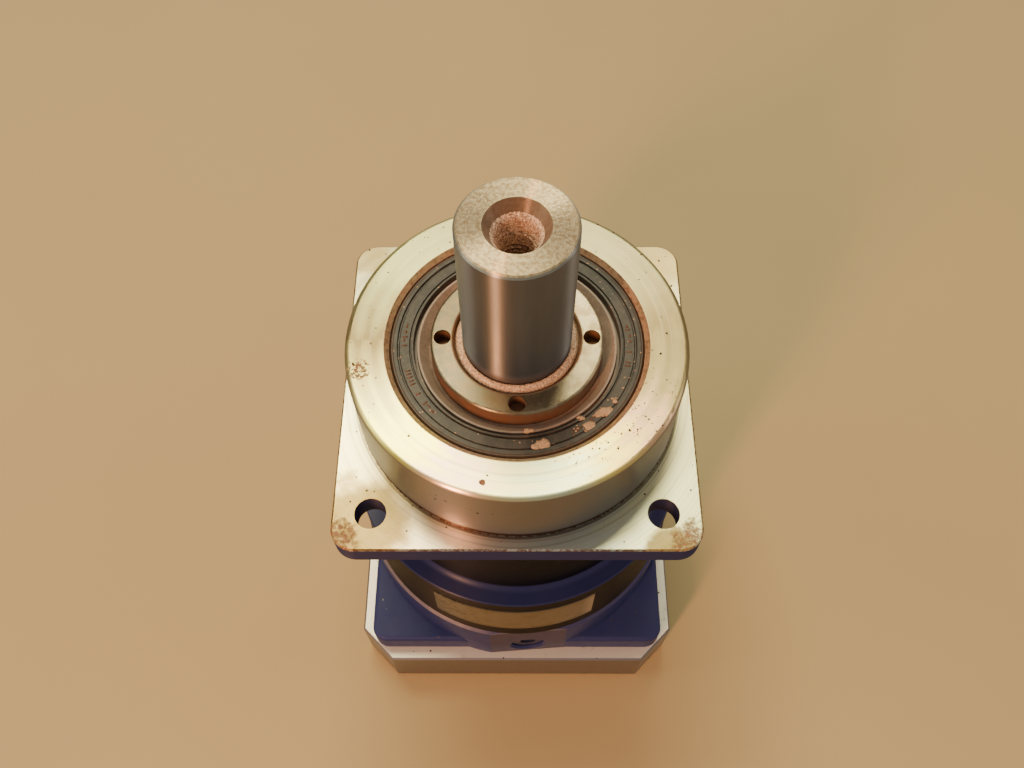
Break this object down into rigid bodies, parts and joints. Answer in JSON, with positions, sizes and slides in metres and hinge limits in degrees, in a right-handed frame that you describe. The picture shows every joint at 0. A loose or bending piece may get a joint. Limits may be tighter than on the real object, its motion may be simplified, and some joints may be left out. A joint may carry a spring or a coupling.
{
  "type": "inline planetary gear reducer",
  "caption": "Inline planetary gear reducer with a square output flange, round pilot and plain shaft, and a clamp hub inside a square motor adapter.",
  "frame": {"origin": "on the shaft axis, in the plane of the output flange's mounting face", "axes": "+Z out along the output shaft, -Y towards the nameplate and the access plug, the motor side at -Z"},
  "size_m": [0.084, 0.084, 0.151],
  "materials": {
    "turned_steel": "turned, bright, a little stained; navy paint on the shoulder",
    "blue_paint": "satin navy paint",
    "milled_aluminium": "milled",
    "ground_steel": "ground",
    "nut_steel": "turned, satin",
    "seal_rubber": "moulded, a little dirty",
    "o_ring_rubber": "moulded",
    "bearing_steel": "polished",
    "cage_steel": "pressed",
    "cage_plastic": "moulded polyamide",
    "gear_steel": "hardened and ground",
    "screw_steel": "black oxide",
    "pin_steel": "ground",
    "spring_steel": "phosphated",
    "washer_bronze": "plain",
    "clamp_steel": "machined",
    "plug_plastic": "moulded",
    "nameplate_foil": "aged foil"
  },
  "bodies": {
    "housing": {"gear_housing": "turned_steel", "input_housing": "blue_paint", "motor_adapter": "milled_aluminium", "housing_screws": "screw_steel", "adapter_screws": "screw_steel", "dowel_pins": "pin_steel", "housing_o_ring": "o_ring_rubber", "access_plug": "plug_plastic", "nameplate": "nameplate_foil", "output_seal": "seal_rubber", "seal_garter_spring": "pin_steel", "front_bearing_cup": "bearing_steel", "rear_bearing_cup": "bearing_steel", "ring_gear": "gear_steel", "ring_gear_pins": "pin_steel", "housing_circlip": "spring_steel", "input_bearing_outer_ring": "bearing_steel", "input_bearing_shields": "cage_steel"},
    "output": {"output_shaft": "ground_steel", "carrier_plate": "clamp_steel", "carrier_screws": "screw_steel", "planet_pins": "pin_steel", "planet_thrust_washers": "washer_bronze", "lock_nut": "nut_steel", "front_bearing_cone": "bearing_steel", "rear_bearing_cone": "bearing_steel"},
    "input": {"sun_shaft": "gear_steel", "clamp_ring": "clamp_steel", "clamp_set_screws": "screw_steel", "hub_circlip": "spring_steel", "input_bearing_inner_ring": "bearing_steel"},
    "planet_1": {"planet_gear_1": "gear_steel"},
    "planet_2": {"planet_gear_2": "gear_steel"},
    "planet_3": {"planet_gear_3": "gear_steel"},
    "needles_1": {"planet_needles_1": "bearing_steel"},
    "needles_2": {"planet_needles_2": "bearing_steel"},
    "needles_3": {"planet_needles_3": "bearing_steel"},
    "front_roller_set": {"front_bearing_rollers": "bearing_steel", "front_bearing_cage": "cage_steel"},
    "rear_roller_set": {"rear_bearing_rollers": "bearing_steel", "rear_bearing_cage": "cage_steel"},
    "input_ball_set": {"input_bearing_balls": "bearing_steel", "input_bearing_cage": "cage_plastic"}
  },
  "joints": [
    {"name": "output_spin", "type": "hinge", "parent": "housing", "child": "output", "pos_m": [0, 0, 0], "axis": [0, 0, 1], "continuous": true},
    {"name": "input_spin", "type": "hinge", "parent": "housing", "child": "input", "pos_m": [0, 0, -0.07], "axis": [0, 0, 1], "continuous": true},
    {"name": "planet_spin_1", "type": "hinge", "parent": "output", "child": "planet_1", "pos_m": [0, 0.018, -0.042], "axis": [0, 0, 1], "continuous": true},
    {"name": "planet_spin_2", "type": "hinge", "parent": "output", "child": "planet_2", "pos_m": [-0.01559, -0.009, -0.042], "axis": [0, 0, 1], "continuous": true},
    {"name": "planet_spin_3", "type": "hinge", "parent": "output", "child": "planet_3", "pos_m": [0.01559, -0.009, -0.042], "axis": [0, 0, 1], "continuous": true},
    {"name": "needle_orbit_1", "type": "hinge", "parent": "output", "child": "needles_1", "pos_m": [0, 0.018, -0.042], "axis": [0, 0, 1], "continuous": true},
    {"name": "needle_orbit_2", "type": "hinge", "parent": "output", "child": "needles_2", "pos_m": [-0.01559, -0.009, -0.042], "axis": [0, 0, 1], "continuous": true},
    {"name": "needle_orbit_3", "type": "hinge", "parent": "output", "child": "needles_3", "pos_m": [0.01559, -0.009, -0.042], "axis": [0, 0, 1], "continuous": true},
    {"name": "front_roller_orbit", "type": "hinge", "parent": "housing", "child": "front_roller_set", "pos_m": [0, 0, 0.003], "axis": [0, 0, 1], "continuous": true},
    {"name": "rear_roller_orbit", "type": "hinge", "parent": "housing", "child": "rear_roller_set", "pos_m": [0, 0, -0.018], "axis": [0, 0, 1], "continuous": true},
    {"name": "input_ball_orbit", "type": "hinge", "parent": "housing", "child": "input_ball_set", "pos_m": [0, 0, -0.0605], "axis": [0, 0, 1], "continuous": true}
  ],
  "couplings": [
    {"joint": "input_spin", "follows": "output_spin", "ratio": 5},
    {"joint": "planet_spin_1", "follows": "output_spin", "ratio": -2.6667},
    {"joint": "planet_spin_2", "follows": "output_spin", "ratio": -2.6667},
    {"joint": "planet_spin_3", "follows": "output_spin", "ratio": -2.6667},
    {"joint": "needle_orbit_1", "follows": "output_spin", "ratio": -1.5667},
    {"joint": "needle_orbit_2", "follows": "output_spin", "ratio": -1.5667},
    {"joint": "needle_orbit_3", "follows": "output_spin", "ratio": -1.5667},
    {"joint": "front_roller_orbit", "follows": "output_spin", "ratio": 0.42419},
    {"joint": "rear_roller_orbit", "follows": "output_spin", "ratio": 0.42753},
    {"joint": "input_ball_orbit", "follows": "output_spin", "ratio": 2.2292}
  ]
}
